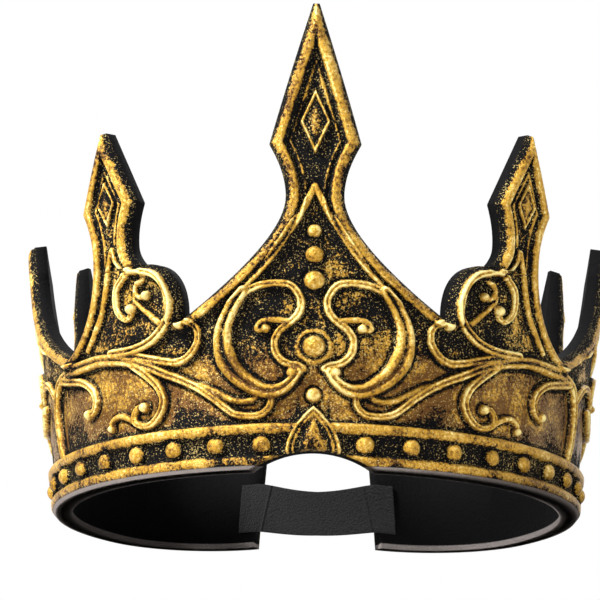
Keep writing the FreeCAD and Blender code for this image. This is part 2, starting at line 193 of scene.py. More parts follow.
def spread(line, reach):
    """For every place of the raster within reach of a line: how far it lies from the line, and
    the share of the line's length at the nearest point. Each short run of the line fills the
    window of the raster round it."""
    far = np.full(ALONG.shape, 1e3)
    share = np.zeros(ALONG.shape)
    steps = np.linalg.norm(np.diff(line, axis=0), axis=1)
    lengths = np.concatenate([[0], np.cumsum(steps)])
    for start, stop, step, before in zip(line, line[1:], steps, lengths):
        if step < 1e-9:
            continue
        low = np.minimum(start, stop) - reach
        high = np.maximum(start, stop) + reach
        cols = slice(*np.searchsorted(RASTER_ALONG, (low[0], high[0])))
        rows = slice(*np.searchsorted(RASTER_UP, (low[1], high[1])))
        dx, dy = ALONG[rows, cols] - start[0], UP[rows, cols] - start[1]
        run = (stop - start) / step
        place = np.clip(dx * run[0] + dy * run[1], 0, step)
        away = np.hypot(dx - place * run[0], dy - place * run[1])
        nearer = away < far[rows, cols]
        far[rows, cols] = np.where(nearer, away, far[rows, cols])
        share[rows, cols] = np.where(nearer, (before + place) / lengths[-1], share[rows, cols])
    return far, share


def smooth_step(value, low, high):
    """0 below low, 1 above high, and a smooth cubic between."""
    share = np.clip((value - low) / (high - low), 0, 1)
    return share * share * (3 - 2 * share)


def blurred(field, width):
    """A field averaged by a Gaussian of a width in millimetres, along rows, then columns."""
    reach = int(3 * width / CELL)
    weights = np.exp(-0.5 * (np.arange(-reach, reach + 1) * CELL / width) ** 2)
    weights /= weights.sum()
    size_up, size_along = field.shape
    padded = np.pad(field, reach, mode="edge")
    across = sum(weight * padded[:, k:k + size_along] for k, weight in enumerate(weights))
    return sum(weight * across[k:k + size_up] for k, weight in enumerate(weights))


# Border: a bevel up from the cut edge, a rounded crest, a slope down to the sunk field, and on
# the spikes a thin raised line inside it.
FIELD = -2.2
EDGE_OUT = -3.0
BEVEL = 2.6
CREST = 3.5
SLOPE_FOOT = 4.9
BORDER_REACH = 9.0
INNER_LINE_PLACE = 6.1
INNER_LINE_HALF = 0.5
INNER_LINE_RISE = 0.75
INNER_LINE_FADE = (46, 56)
edge_far = np.full(ALONG.shape, BORDER_REACH)
for side in (front_right, side_left, side_right, rear_left, rear_right, last_left, last_right,
             tail_top, np.array([end_side, (WALL_LENGTH, -4.0)]),
             front_right * (-1, 1)):
    edge_far = np.minimum(edge_far, spread(side, BORDER_REACH)[0])
bevel_share = np.clip(edge_far / BEVEL, 0, 1)
bevelled = EDGE_OUT * (1 - np.sin(0.5 * math.pi * bevel_share) ** 0.9)
lip_fall = smooth_step(edge_far, CREST, SLOPE_FOOT)
relief = np.where(edge_far < CREST, bevelled, FIELD * lip_fall)
inner_line = np.exp(-((edge_far - INNER_LINE_PLACE) / INNER_LINE_HALF) ** 2)
relief = relief + INNER_LINE_RISE * inner_line * smooth_step(UP, *INNER_LINE_FADE)

# Scrollwork: rounded ribs that swell and taper, with curled ends that finish in small balls.
# A rib is (points of its centre line, width at start, middle and end, height, grooved or not).
RIBS = {
    "a_ridge": ([(0.0, 93.6), (3.6, 85.5), (8.6, 77.0), (13.6, 69.4), (17.3, 64.8), (20.8, 61.0)],
                (2.2, 2.4, 2.0), 2.0, False),
    "big_c": ([(22.2, 58.9), (25.0, 54.9), (27.2, 50.9), (28.8, 46.7), (29.3, 42.0), (28.5, 37.4),
               (26.5, 33.4), (23.5, 29.9), (19.8, 27.2), (16.1, 25.5), (12.5, 25.3), (9.4, 26.5),
               (6.9, 28.7), (5.0, 31.4)], (3.8, 7.4, 3.0), 3.3, True),
    "ring": ([(22.4, 57.8), (19.4, 59.6), (15.9, 60.7), (11.5, 61.0), (8.0, 60.5), (5.8, 58.7),
              (4.3, 55.9), (4.1, 53.0), (5.2, 50.3), (7.5, 47.9), (10.3, 45.7), (12.2, 42.8),
              (12.5, 40.1), (11.7, 37.2), (9.7, 35.0), (7.4, 33.9), (5.2, 33.6), (3.5, 32.5)],
             (2.6, 2.6, 2.6), 2.7, True),
    "hook": ([(8.6, 48.2), (13.0, 48.8), (15.9, 48.5), (17.6, 47.4), (17.9, 45.7), (15.6, 45.2)],
             (2.4, 2.2, 1.8), 2.2, False),
    "stem": ([(13.6, 24.2), (14.2, 20.4), (16.4, 18.1), (19.2, 17.3), (23.0, 17.5), (27.0, 18.8),
              (33.2, 23.9), (38.8, 27.9), (44.5, 31.0), (50.1, 33.5), (55.9, 36.4), (61.5, 38.6),
              (67.2, 40.4), (72.8, 41.6), (78.6, 42.5), (84.4, 42.6), (93.1, 42.5),
              (98.7, 42.8)], (2.2, 3.0, 5.2), 2.7, True),
    "leaf": ([(18.1, 24.3), (20.3, 22.6), (25.9, 22.6), (31.6, 25.4), (37.1, 28.3),
              (41.8, 28.7)], (1.6, 2.2, 2.0), 1.7, False),
    "scroll_a": ([(66.0, 41.6), (61.5, 40.9), (55.9, 39.4), (50.2, 37.8), (45.7, 37.1),
                  (42.3, 38.0), (39.6, 40.3), (37.9, 43.1), (37.6, 45.4), (38.0, 47.4),
                  (39.3, 49.2), (41.5, 50.4), (43.3, 50.2)], (3.4, 2.8, 2.4), 2.7, True),
    "scroll_b": ([(64.0, 39.0), (59.2, 35.3), (55.8, 32.4), (52.9, 29.1), (51.5, 25.1),
                  (52.3, 21.8), (54.5, 19.0), (57.3, 17.3), (60.7, 17.3), (63.6, 18.7),
                  (64.1, 21.3), (62.4, 23.5), (60.2, 24.1)], (3.4, 2.9, 2.0), 2.7, True),
    "scroll_b_tail": ([(62.0, 17.6), (63.5, 18.4), (66.3, 20.2), (69.2, 21.6), (72.5, 21.9),
                       (75.0, 20.5), (75.3, 18.5)], (1.8, 2.2, 1.8), 2.1, False),
    "scroll_c": ([(104.0, 40.5), (98.2, 39.0), (94.0, 38.1), (89.4, 36.8), (85.3, 34.4),
                  (83.0, 31.6), (82.7, 28.2), (84.1, 25.9), (86.5, 24.8)],
                 (3.4, 2.9, 2.4), 2.7, True),
    "pillar": ([(96.0, 42.9), (104.6, 41.1), (108.8, 38.1), (111.7, 30.0), (111.3, 19.8),
                (108.9, 12.7)], (3.6, 3.6, 2.8), 2.7, True),
    "ear": ([(72.0, 43.6), (65.3, 43.3), (61.2, 43.6), (58.0, 44.2), (54.5, 45.5), (51.9, 47.4),
             (50.1, 48.9), (48.5, 50.9), (47.4, 53.0), (47.0, 55.2), (46.9, 57.9), (47.4, 60.1),
             (48.2, 62.3), (49.1, 64.4), (50.5, 66.3), (52.3, 67.9), (54.8, 69.0), (57.4, 70.0),
             (60.2, 70.5), (62.9, 69.9), (65.5, 68.2), (67.7, 65.9), (68.6, 63.3), (68.7, 60.3),
             (68.3, 57.8), (67.0, 55.7), (65.1, 54.3), (63.0, 54.8), (61.7, 56.4)],
            (3.6, 3.2, 2.0), 3.3, True),
    "ear_hook": ([(55.9, 68.0), (57.4, 66.8), (59.0, 65.8), (60.3, 64.5), (60.3, 62.6),
                  (59.3, 61.2), (57.6, 60.6), (56.6, 60.7)], (2.2, 2.0, 1.8), 2.3, False),
    "ear_stem": ([(50.3, 50.1), (53.0, 52.1), (55.7, 54.7), (58.1, 56.9), (60.1, 59.1),
                  (61.1, 60.4), (61.0, 62.4)], (2.6, 2.0, 1.4), 2.0, False),
    "fork": ([(69.7, 79.5), (72.0, 72.5), (73.6, 65.5), (76.4, 58.0), (80.6, 52.0),
              (85.4, 47.2)], (2.0, 2.2, 1.8), 2.0, False),
    "fork_left": ([(69.7, 79.5), (68.6, 75.4), (66.4, 72.6)], (2.0, 1.8, 1.4), 1.8, False),
    "rear_ridge": ([(150.0, 86.0), (144.6, 76.5), (137.4, 67.6), (128.0, 60.0),
                    (117.0, 53.6)], (2.0, 2.4, 2.0), 2.0, False),
    "rear_ridge_aft": ([(150.0, 86.0), (154.6, 76.5), (160.8, 67.6), (167.5, 60.5)],
                       (2.0, 2.4, 2.0), 2.0, False),
    "rear_c": ([(131.0, 36.0), (138.0, 31.5), (146.0, 30.5), (153.0, 33.5), (157.0, 39.5),
                (156.5, 46.5), (151.5, 51.5), (145.0, 52.0), (140.5, 48.0), (141.0, 43.0),
                (145.0, 40.8)], (3.6, 4.2, 2.2), 2.9, True),
    "rear_stem": ([(112.0, 36.0), (118.0, 41.5), (125.0, 44.0), (132.0, 43.5), (137.5, 40.0)],
                  (3.0, 3.0, 1.8), 2.6, True),
    "rear_aft": ([(153.0, 33.0), (161.0, 27.0), (170.0, 24.5), (178.5, 26.5), (183.5, 32.5),
                  (182.5, 39.5), (177.0, 42.5), (172.0, 40.0), (172.5, 35.5)],
                 (3.2, 3.2, 2.0), 2.7, True),
    "last_stem": ([(183.5, 31.0), (190.0, 26.0), (199.0, 24.0), (208.0, 26.5), (213.5, 33.0),
                   (212.0, 40.0), (206.0, 42.5), (201.5, 39.5), (202.5, 35.5)],
                  (3.0, 3.2, 2.0), 2.7, True),
    "tail_stem": ([(213.0, 31.0), (221.0, 26.5), (231.0, 25.0), (241.0, 27.0), (248.0, 31.0),
                   (251.0, 35.0), (248.0, 37.5), (244.5, 35.5)], (3.0, 3.0, 1.8), 2.5, True),
}
# Small balls and studs: (along, up, radius, height).
BALLS = [(11.4, 12.9, 2.1, 2.6), (0.0, 78.4, 2.3, 2.6), (0.0, 70.3, 2.9, 3.0),
         (0.0, 61.7, 3.3, 3.3), (0.0, 39.8, 3.7, 4.6), (0.0, 23.8, 2.5, 2.8),
         (6.8, 31.2, 2.0, 3.4), (15.2, 46.0, 1.7, 2.9), (59.4, 23.4, 1.9, 3.3),
         (62.2, 57.4, 2.1, 3.9), (56.2, 61.2, 1.7, 3.2), (75.2, 18.2, 1.5, 2.7),
         (87.0, 25.2, 2.0, 3.2), (43.4, 49.4, 1.7, 3.2), (145.2, 41.4, 2.0, 3.2),
         (172.9, 36.3, 2.0, 3.2), (202.9, 36.2, 2.0, 3.2), (244.9, 36.0, 1.8, 3.0)]
GROOVE_WIDTH = 0.30
GROOVE_DEPTH = 0.42
RIB_REACH = 5.5
RIB_FULLNESS = 0.7
RIB_MIDDLE = 0.45
THIN_HEIGHT = 0.75
RECESS_FROM_RIB = 0.45
RECESS_HALF = 0.55
BALL_RECESS_FROM = 0.4
BALL_RECESS_HALF = 0.5
NEAR_CENTRE_LINE = 12
scroll_recess = np.zeros(ALONG.shape)
scroll = np.zeros(ALONG.shape)
for points, (first, middle, last), height, grooved in RIBS.values():
    line = through(points)
    far, share = spread(line, RIB_REACH)
    half = 0.5 * np.interp(share, (0, RIB_MIDDLE, 1), (first, middle, last))
    dome = np.sqrt(np.clip(1 - (far / half) ** 2, 0, 1)) ** RIB_FULLNESS
    if grooved:
        dome = dome * (1 - GROOVE_DEPTH * np.exp(-(far / (GROOVE_WIDTH * half)) ** 2))
    thin_end = THIN_HEIGHT + (1 - THIN_HEIGHT) * smooth_step(half, 0.8, 1.8)
    scroll = np.maximum(scroll, height * thin_end * dome)
    beside = np.exp(-((far - half - RECESS_FROM_RIB) / RECESS_HALF) ** 2) * (far < half + 2.4)
    scroll_recess = np.maximum(scroll_recess, beside)
for along, up, radius, height in BALLS:
    for side in ((1, -1) if 0 < along < NEAR_CENTRE_LINE else (1,)):
        far = np.hypot(ALONG - side * along, UP - up)
        scroll = np.maximum(scroll, height * np.sqrt(np.clip(1 - (far / radius) ** 2, 0, 1)))
        beside = np.exp(-((far - radius - BALL_RECESS_FROM) / BALL_RECESS_HALF) ** 2)
        scroll_recess = np.maximum(scroll_recess, beside)

# Diamonds on the blades: a raised lozenge with a thin rim and four facets.
DIAMONDS = [(0.0, 115.4, 4.6, 11.6), (70.9, 96.0, 4.0, 8.4), (150.0, 92.5, 2.6, 5.0),
            (198.0, 92.0, 2.2, 7.0)]
lozenge = np.zeros(ALONG.shape)
for along, up, wide, high in DIAMONDS:
    share = np.abs(ALONG - along) / wide + np.abs(UP - up) / high
    rim = smooth_step(1 - share, 0.0, 0.12) * 1.5
    facet = rim - 0.9 * smooth_step(1 - share, 0.14, 0.30) + 1.3 * np.clip(0.75 - share, 0, 1)
    lozenge = np.maximum(lozenge, np.where(share < 1, facet, 0))
    scroll_recess = np.maximum(scroll_recess, np.exp(-((share - 1.12) / 0.12) ** 2) * 0.8)

# Centre boss: a low disc under the middle ball.
DISC_UP = 39.8
DISC_RADIUS = 6.8
DISC_RISE = 1.1
DISC_SLOPE = 1.6
disc_far = np.hypot(ALONG, UP - DISC_UP)
disc = DISC_RISE * smooth_step(DISC_RADIUS - disc_far, 0, DISC_SLOPE)

# The two rims and the channel between them, which the beads stand in.
BEAD_UP = 7.75
BEAD_RADIUS = 3.35
BEAD_RISE = 1.0
BEAD_FIRST = 17.1
BEAD_PITCH = 15.65
CHANNEL = -1.8
FIELD_START = 16.2
BARE_EDGE = 1.8
RECESS_DEPTH = 0.55
SOCKET_DEPTH = 0.5
SOCKET_HALF = 0.45
CHANNEL_SIDES = (4.6, 11)
RIM_CREST_TOP = 14.0
BELOW_ALL = -9
raised = relief + np.maximum(np.maximum(scroll, lozenge), disc)
raised = np.where(edge_far < BARE_EDGE, relief, raised)
open_field = (scroll < 0.05) * smooth_step(edge_far, 3, 5)
raised = raised - RECESS_DEPTH * scroll_recess * open_field
lower_rim = np.interp(UP, (0.0, 0.9, 1.6, 3.4, 4.1, 4.8), (-1.2, -0.5, 0.0, 0.0, -0.6, CHANNEL))
upper_rim = np.interp(UP, (10.7, 11.3, 12.0, 14.0, 14.7, 15.1, 15.6, FIELD_START),
                      (CHANNEL, -0.6, 0.0, 0.0, -0.7, -2.5, -2.5, FIELD))
channel = np.where(UP < BEAD_UP, lower_rim, upper_rim)
bead_place = (ALONG - BEAD_FIRST + 0.5 * BEAD_PITCH) % BEAD_PITCH - 0.5 * BEAD_PITCH
bead_far = np.hypot(bead_place, UP - BEAD_UP)
bead = BEAD_RISE - BEAD_RADIUS + np.sqrt(np.clip(BEAD_RADIUS ** 2 - bead_far ** 2, 0, None))
has_beads = ALONG > BEAD_FIRST - BEAD_PITCH / 2
bead = np.where((bead_far < BEAD_RADIUS) & has_beads, bead, BELOW_ALL)
socket = np.exp(-((bead_far - BEAD_RADIUS - 0.35) / SOCKET_HALF) ** 2) * has_beads
in_channel = (UP > CHANNEL_SIDES[0]) * (UP < CHANNEL_SIDES[1])
channel = np.maximum(channel - SOCKET_DEPTH * socket * in_channel, bead)
low_part = UP < FIELD_START
edge_low = np.where(edge_far < CREST, np.minimum(bevelled, channel), channel)
over_band = np.where(UP > RIM_CREST_TOP, raised, BELOW_ALL)
raised = np.where(low_part, np.maximum(edge_low, over_band), raised)

# Arched boss at the front: a domed panel in a double outline, like a small window.
BOSS_FOOT_UP = 5.0
BOSS_TOP_UP = 20.3
BOSS_HALF = 9.2
BOSS_GROUND = -0.3
BOSS_LINES = ((1.15, 0.75, 0.5), (0.95, 2.5, 0.45))
BOSS_DOME = 1.6
climb = np.clip((UP - BOSS_FOOT_UP) / (BOSS_TOP_UP - BOSS_FOOT_UP), 0, 1)
boss_in = BOSS_HALF * np.clip(1 - climb ** 1.9, 0, 1) - np.abs(ALONG)
boss = BOSS_GROUND + BOSS_DOME * smooth_step(boss_in, 3.2, 7.0)
for rise, place, half in BOSS_LINES:
    boss = boss + rise * np.exp(-((boss_in - place) / half) ** 2)
HEIGHT_MAP = np.where(boss_in > 0, boss, raised)

# How far each place stands above the ground around it, near and far: the paint follows both, and
# so do the painted shade in the hollows and the painted highlight on the crests.
LIFT_BLUR = 2.6
CREST_BLUR = 0.7
LIFT_MAP = HEIGHT_MAP - blurred(HEIGHT_MAP, LIFT_BLUR)
CREST_MAP = HEIGHT_MAP - blurred(HEIGHT_MAP, CREST_BLUR)


def at(field, along, up):
    """A raster field read between its cells, by weights of the four nearest."""
    col = np.clip((np.abs(along) - RASTER_ALONG[0]) / CELL, 0, ALONG.shape[1] - 1.001)
    row = np.clip((up - RASTER_UP[0]) / CELL, 0, ALONG.shape[0] - 1.001)
    c, r = col.astype(int), row.astype(int)
    fc, fr = col - c, row - r
    return ((field[r, c] * (1 - fc) + field[r, c + 1] * fc) * (1 - fr)
            + (field[r + 1, c] * (1 - fc) + field[r + 1, c + 1] * fc) * fr)


# The crown's mesh: patches of the flat wall, each a grid between a left and a right side, put
# together, mirrored, and given a face, an inside and the cut edge between them.
STEP = 0.55
ARCH_HEIGHT = 6.1
ARCH_RADIUS = 41.0
COMMON_TOP = float(tail_start[1])
COMMON_ROWS = int(COMMON_TOP / STEP)


def arch_level(along):
    """Height of the bottom edge: 0, or the arch of a circle under the front."""
    under = np.clip(ARCH_RADIUS ** 2 - along ** 2, 0, None)
    return np.clip(np.sqrt(under) + ARCH_HEIGHT - ARCH_RADIUS, 0, None)


def side_at(side, up, base):
    """Along-wall place of a spike's side at each height, straight below its valley."""
    heights = np.maximum.accumulate(side[:, 1])
    return np.where(up < heights[0], base, np.interp(up, heights, side[:, 0]))


def spike_patch(left, right, left_base, right_base, tip, columns):
    """The grid of one spike: rows from the bottom edge to the tip, columns from side to side."""
    low_rows = np.linspace(0, COMMON_TOP, COMMON_ROWS + 1)
    high_rows = np.linspace(COMMON_TOP, tip, max(2, int((tip - COMMON_TOP) / STEP)) + 1)[1:]
    rows = np.concatenate([low_rows, high_rows])[:, None]
    share = np.linspace(0, 1, columns + 1)[None, :]
    low = side_at(left, rows, left_base) if left is not None else np.zeros(rows.shape)
    high = side_at(right, rows, right_base)
    along = low + (high - low) * share
    floor = arch_level(along)
    up = np.where(rows < COMMON_TOP, floor + rows * (1 - floor / COMMON_TOP), rows)
    return along, up


def columns_for(width):
    """How many columns of quads a width in millimetres takes."""
    return int(round(width / STEP))


patches = [
    spike_patch(None, front_right, 0, NOTCH[0], FRONT_SPIKE["tip"], columns_for(NOTCH[0])),
    spike_patch(side_left, side_right, NOTCH[0], VALLEY[0], SIDE_SPIKE["tip"],
                columns_for(VALLEY[0] - NOTCH[0])),
    spike_patch(rear_left, rear_right, VALLEY[0], DIP[0], REAR_SPIKE["tip"],
                columns_for(DIP[0] - VALLEY[0])),
    spike_patch(last_left, last_right, DIP[0], tail_start[0], LAST_SPIKE["tip"],
                columns_for(tail_start[0] - DIP[0])),
]
tail_columns = columns_for(WALL_LENGTH - tail_start[0])
tail_lengths = np.concatenate([[0], np.cumsum(np.linalg.norm(np.diff(tail_top, axis=0), axis=1))])
tail_share = np.linspace(0, tail_lengths[-1], tail_columns + 1)
tail_along = np.interp(tail_share, tail_lengths, tail_top[:, 0])[None, :]
tail_height = np.interp(tail_share, tail_lengths, tail_top[:, 1])[None, :]
tail_rows = np.linspace(0, 1, COMMON_ROWS + 1)[:, None]
patches.append((tail_along + 0 * tail_rows, tail_height * tail_rows))

flat_points, flat_quads, point_count = [], [], 0
for mirror in (1, -1):
    for along, up in patches:
        rows, cols = along.shape
        index = point_count + np.arange(rows * cols).reshape(rows, cols)
        quads = np.stack([index[:-1, :-1], index[:-1, 1:], index[1:, 1:], index[1:, :-1]],
                         axis=-1).reshape(-1, 4)
        flat_quads.append(quads if mirror > 0 else quads[:, ::-1])
        flat_points.append(np.stack([mirror * along, up], axis=-1).reshape(-1, 2))
        point_count += rows * cols
flat_points = np.vstack(flat_points)
flat_quads = np.vstack(flat_quads)
WELD = 1e-3
first, where = np.unique(np.round(flat_points / WELD).astype(np.int64), axis=0,
                         return_index=True, return_inverse=True)[1:]
flat_points = flat_points[first]
flat_quads = where.ravel()[flat_quads]
loops = np.stack([flat_quads, np.roll(flat_quads, -1, axis=1)], axis=-1).reshape(-1, 2)
loops = loops[loops[:, 0] != loops[:, 1]]
edge_keys = np.sort(loops, axis=1)
edge_first, edge_uses = np.unique(edge_keys, axis=0, return_index=True,
                                  return_counts=True)[1:]
rim_loops = loops[edge_first[edge_uses == 1]]

along, up = flat_points[:, 0], flat_points[:, 1]
face_out = at(HEIGHT_MAP, along, up)
on_edge = np.zeros(len(flat_points), bool)
on_edge[rim_loops.ravel()] = True
at_bottom = on_edge & (up < arch_level(along) + 0.3)
face_out = np.where(on_edge & ~at_bottom, EDGE_OUT, face_out)
BOTTOM_FADE = 8.0
lean_in = np.clip(1 - (up - arch_level(along)) / BOTTOM_FADE, 0, 1) * math.tan(FLARE)
face = on_wall(along, up + face_out * lean_in, face_out)
inside = on_wall(along, up - FOAM_THICKNESS * lean_in, -FOAM_THICKNESS + 0 * along)
count = len(flat_points)
vertices = np.vstack([face, inside])
rim_quads = np.stack([rim_loops[:, 1], rim_loops[:, 0], rim_loops[:, 0] + count,
                      rim_loops[:, 1] + count], axis=-1)
quads = np.vstack([flat_quads, flat_quads[:, ::-1] + count, rim_quads])


def mesh_object(name, vertices, faces):
    """A mesh object from an array of corners and the corner numbers of its faces."""
    mesh = bpy.data.meshes.new(name)
    mesh.from_pydata(vertices.tolist(), [], [list(face) for face in faces])
    mesh.validate()
    made = bpy.data.objects.new(name, mesh)
    bpy.context.collection.objects.link(made)
    return made


raw = mesh_object("crown_raw", vertices, quads)
MOST_TRIANGLES = 190000
thin = raw.modifiers.new("thin", "DECIMATE")
thin.ratio = MOST_TRIANGLES / (2 * len(quads))
thin.use_collapse_triangulate = True
shell = bpy.data.meshes.new_from_object(raw.evaluated_get(bpy.context.evaluated_depsgraph_get()))
shell.name = "moulded_crown"
crown = bpy.data.objects.new("moulded_crown", shell)
bpy.context.collection.objects.link(crown)
bpy.data.objects.remove(raw)

# What the paint, its painted shade and its painted highlight follow at each point: how far it
# stands above its surroundings, how sharp its crest is, how high up the wall it is, and how far
# out.
coordinates = np.empty(3 * len(shell.vertices))
shell.vertices.foreach_get("co", coordinates)
along, up, out = off_wall(coordinates.reshape(-1, 3))
for name, values in (("lift", at(LIFT_MAP, along, up)), ("crest", at(CREST_MAP, along, up)),
                     ("height", up), ("wall_out", out)):
    layer = shell.attributes.new(name, "FLOAT", "POINT")
    layer.data.foreach_set("value", values.astype(np.float32))
shell.polygons.foreach_set("use_smooth", np.ones(len(shell.polygons), bool))
shell.update()


def new_material(name):
    """A node material with nothing in it yet, and its node tree."""
    material = bpy.data.materials.new(name)
    material.use_nodes = True
    tree = material.node_tree
    tree.nodes.clear()
    return material, tree


def add(tree, kind, inputs=(), **settings):
    """A node of a kind. Inputs are (socket, value or output socket)."""
    node = tree.nodes.new(kind)
    for key, value in settings.items():
        setattr(node, key, value)
    for socket, value in inputs:
        if isinstance(value, bpy.types.NodeSocket):
            tree.links.new(value, node.inputs[socket])
        else:
            node.inputs[socket].default_value = value
    return node


def calc(tree, operation, *values):
    """One step of arithmetic."""
    return add(tree, "ShaderNodeMath", list(enumerate(values)), operation=operation).outputs[0]


def attribute(tree, name):
    """A value stored at the points of the mesh."""
    return add(tree, "ShaderNodeAttribute", attribute_name=name).outputs["Fac"]


def ramp(tree, value, low, high):
    """0 where the value is low, 1 where it is high, and a smooth cubic between."""
    return add(tree, "ShaderNodeMapRange", [("Value", value), ("From Min", low),
                                            ("From Max", high)],
               interpolation_type="SMOOTHSTEP").outputs[0]


def noise(tree, vector, scale, detail, rough):
    """Noise between 0 and 1, its scale in grains per unit of the vector."""
    return add(tree, "ShaderNodeTexNoise", [("Vector", vector), ("Scale", scale),
                                            ("Detail", detail), ("Roughness", rough)]
               ).outputs["Fac"]


def mix_colour(tree, share, low, high):
    """The low colour where the share is 0 and the high one where it is 1."""
    node = add(tree, "ShaderNodeMix", data_type="RGBA", inputs=[("Factor", share)])
    for socket, value in ((6, low), (7, high)):
        if isinstance(value, bpy.types.NodeSocket):
            tree.links.new(value, node.inputs[socket])
        else:
            node.inputs[socket].default_value = (*value, 1)
    return node.outputs[2]


def off_middle(tree, value, strength):
    """A noise about zero: the value less a half, times a strength."""
    return calc(tree, "MULTIPLY", calc(tree, "SUBTRACT", value, 0.5), strength)


def total(tree, *values):
    """The sum of several values."""
    result = values[0]
    for value in values[1:]:
        result = calc(tree, "ADD", result, value)
    return result


# Paint: black foam dry-brushed in antique gold. The brush leaves the low places black, speckles
# the open field, and covers crests solidly.
BLACK_FOAM = (0.0045, 0.0045, 0.005)
# Deep gold: a darker tone of the paint, and painted shade where the tone below puts it in the
# hollows.
DEEP_GOLD_AND_PAINTED_SHADE = (0.12, 0.048, 0.005)
MID_GOLD = (0.55, 0.30, 0.030)
# Pale gold: the colour of the paint's specks, and painted highlight where the tone below puts it
# on the crests.
PALE_GOLD_AND_PAINTED_HIGHLIGHT = (1.0, 0.82, 0.32)
# Bare foam at the bottom edge: a grey lighter than the foam's own, as painted light from below.
BARE_FOAM_PAINTED_UNDERLIGHT = (0.30, 0.265, 0.25)

# Grains of each noise per metre, from the foam's pores to the sweep of the brush.
SPECKLE_GRAINS = 1900
GRIT_GRAINS = 850
PATCH_GRAINS = 95
CLOUD_GRAINS = 22
# Where the paint fades, in millimetres: out of the wall, and up it.
PAINTED_OUT = (-3.9, -2.6)
LOW_WALL = (46, 28)
ABOVE_BAND = (14.6, 16.6)
ABOVE_BOTTOM = (0.7, 1.3)
BARE_BOTTOM_PAINTED_UNDERLIGHT = (1.2, 0.7)
TONE_SHIFT = -0.30
GOLD_METAL = 0.32
FOAM_ROUGHNESS = 0.80
GOLD_ROUGHNESS = 0.34
FOAM_GLOSS = 0.05
GOLD_GLOSS = 0.19

paint, tree = new_material("dry_brushed_foam")
place = add(tree, "ShaderNodeTexCoord").outputs["Object"]
speckle = noise(tree, place, SPECKLE_GRAINS, 2, 0.6)
grit = noise(tree, place, GRIT_GRAINS, 3, 0.65)
patch = noise(tree, place, PATCH_GRAINS, 4, 0.6)
cloud = noise(tree, place, CLOUD_GRAINS, 2, 0.5)
lift = attribute(tree, "lift")
crest = attribute(tree, "crest")
height = attribute(tree, "height")

# Where the brush reached: the face, its ragged edge over the cut sides, and more of the low wall.
ragged_out = total(tree, attribute(tree, "wall_out"), off_middle(tree, grit, 3.2))
on_front = ramp(tree, ragged_out, *PAINTED_OUT)
low_wall = calc(tree, "MULTIPLY", ramp(tree, height, *LOW_WALL),
                ramp(tree, height, *ABOVE_BAND))
reach = total(tree, calc(tree, "MULTIPLY", lift, 0.62), calc(tree, "MULTIPLY", crest, 1.7),
              off_middle(tree, grit, 2.4), off_middle(tree, speckle, 1.5),
              off_middle(tree, patch, 2.6), off_middle(tree, cloud, 1.6),
              calc(tree, "MULTIPLY", low_wall, 1.05))
cover = calc(tree, "MULTIPLY", ramp(tree, reach, 0.06, 0.42), on_front)
patchy_speckle = total(tree, speckle, off_middle(tree, patch, 0.3))
specks = calc(tree, "MULTIPLY", ramp(tree, patchy_speckle, 0.585, 0.66), on_front)
cover = calc(tree, "MAXIMUM", cover, calc(tree, "MULTIPLY", specks, 0.85))
cover = calc(tree, "MULTIPLY", cover, ramp(tree, height, *ABOVE_BOTTOM))
# The gold's tone: darker in the hollows and paler on the crests by lift and crest, which is
# painted shade and painted highlight, and varied at random by the noises.
painted_light_and_tone = total(tree, calc(tree, "MULTIPLY", lift, 0.26), calc(tree, "MULTIPLY", crest, 1.7),
             off_middle(tree, patch, 3.2), off_middle(tree, grit, 3.4),
             off_middle(tree, cloud, 1.0), TONE_SHIFT)
gold = mix_colour(tree, ramp(tree, painted_light_and_tone, -0.45, 0.65), DEEP_GOLD_AND_PAINTED_SHADE, MID_GOLD)
gold = mix_colour(tree, ramp(tree, painted_light_and_tone, 0.65, 1.60), gold, PALE_GOLD_AND_PAINTED_HIGHLIGHT)
gold = mix_colour(tree, calc(tree, "MULTIPLY", specks, 0.45), gold, PALE_GOLD_AND_PAINTED_HIGHLIGHT)
# The bottom edge, which the brush leaves bare, takes the lighter grey: painted light from below.
bottom = ramp(tree, height, *BARE_BOTTOM_PAINTED_UNDERLIGHT)
base = mix_colour(tree, bottom, BLACK_FOAM, BARE_FOAM_PAINTED_UNDERLIGHT)
colour = mix_colour(tree, cover, base, gold)
rough = total(tree, calc(tree, "MULTIPLY", cover, GOLD_ROUGHNESS - FOAM_ROUGHNESS),
              FOAM_ROUGHNESS, off_middle(tree, grit, 0.25))
metal = calc(tree, "MULTIPLY", cover, GOLD_METAL)
gloss = total(tree, calc(tree, "MULTIPLY", cover, GOLD_GLOSS - FOAM_GLOSS), FOAM_GLOSS)
bump_height = total(tree, calc(tree, "MULTIPLY", grit, 0.7), calc(tree, "MULTIPLY", speckle, 0.4))
bump = add(tree, "ShaderNodeBump", [("Height", bump_height), ("Strength", 0.9),
                                    ("Distance", 0.0008)])
shader = add(tree, "ShaderNodeBsdfPrincipled",
             [("Base Color", colour), ("Roughness", rough), ("Metallic", metal),
              ("Specular IOR Level", gloss), ("Normal", bump.outputs[0])])
add(tree, "ShaderNodeOutputMaterial", [("Surface", shader.outputs[0])])
shell.materials.append(paint)
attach(crown, "root")
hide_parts("foam_crown")

# The strap: black elastic webbing with a looped face, glued and stitched to the inside of both
# foam ends, and drawn across the gap between them.
STRAP_WIDTH = 20.0
STRAP_WAIST = 17.6
STRAP_THICKNESS = 1.4
STRAP_LAP = 7.5
STRAP_LIFT = 5.0
STRAP_SAG = 3.0
STRAP_BOW = 4.5
LAP_STEPS = 12
COURSE_STEPS = 60
ROUND_STEPS = 96
EDGE_SQUARENESS = 0.5
FACE_SQUARENESS = 0.35
CLOTH_SCALE = 0.1
WEBBING = (0.012, 0.012, 0.013)
WEBBING_LIGHT = (0.020, 0.020, 0.022)
WEBBING_SEAM = (0.004, 0.004, 0.004)

